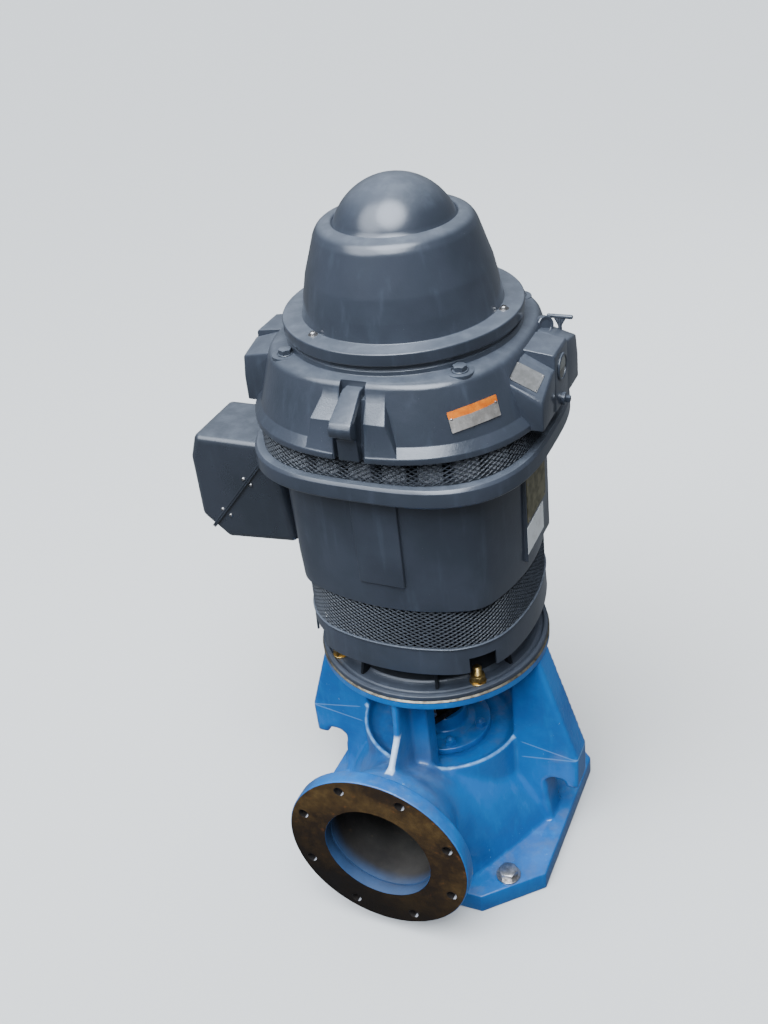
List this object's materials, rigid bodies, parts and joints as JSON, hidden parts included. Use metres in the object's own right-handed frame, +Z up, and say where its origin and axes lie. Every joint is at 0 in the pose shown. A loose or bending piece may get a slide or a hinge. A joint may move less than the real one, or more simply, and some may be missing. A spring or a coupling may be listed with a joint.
{
  "type": "vertical turbine pump",
  "caption": "Vertical turbine pump: blue cast discharge head with side outlet, grey vertical motor with screened air openings, conduit box and domed canopy.",
  "frame": {"origin": "pump axis at the underside of the base plate, on the lower end of the head shaft", "axes": "+Z up along the pump axis, -Y out of the discharge flange, -X towards the conduit box"},
  "size_m": [0.7007, 0.609, 1.3151],
  "materials": {
    "blue_paint": "gloss blue enamel on cast iron, scuffed at the edges",
    "bare_iron": "dark rust brown, machined",
    "grey_paint": "satin slate grey enamel on castings and sheet",
    "grey_screen": "satin grey, expanded metal screen",
    "brass_plated": "yellow plated bolt",
    "zinc_steel": "zinc plated",
    "bright_steel": "bare steel",
    "bare_plate": "brushed blank plate",
    "white_label": "white adhesive label, blank",
    "sight_glass": "clear window over pale oil"
  },
  "bodies": {
    "root": {"discharge_head": "blue_paint", "stuffing_box": "blue_paint", "packing_gland": "bare_iron", "gland_stud_front": "bright_steel", "gland_stud_rear": "bright_steel", "head_shaft": "bright_steel", "motor_foot": "grey_paint", "lower_skirt": "grey_paint", "lower_screen": "grey_screen", "motor_frame": "grey_paint", "frame_band": "grey_paint", "air_intake_ring": "grey_paint", "upper_screen": "grey_screen", "bearing_housing": "grey_paint", "canopy_cap": "grey_paint", "conduit_box_base": "grey_paint", "conduit_box_cover": "grey_paint", "oil_sight_glass": "sight_glass", "oil_drain_plug": "bright_steel", "oil_filler": "grey_paint", "filler_handle": "grey_paint", "bracket_plate": "bare_plate", "nameplate": "bare_plate", "block_plate": "bare_plate", "side_label": "white_label", "anchor_bolt_front_right": "zinc_steel", "motor_bolt_front_right": "brass_plated", "housing_bolt_front_right": "grey_paint", "anchor_bolt_front_left": "zinc_steel", "motor_bolt_front_left": "brass_plated", "housing_bolt_front_left": "grey_paint", "anchor_bolt_rear_right": "zinc_steel", "motor_bolt_rear_right": "brass_plated", "housing_bolt_rear_right": "grey_paint", "anchor_bolt_rear_left": "zinc_steel", "motor_bolt_rear_left": "brass_plated", "housing_bolt_rear_left": "grey_paint"}
  },
  "joints": []
}
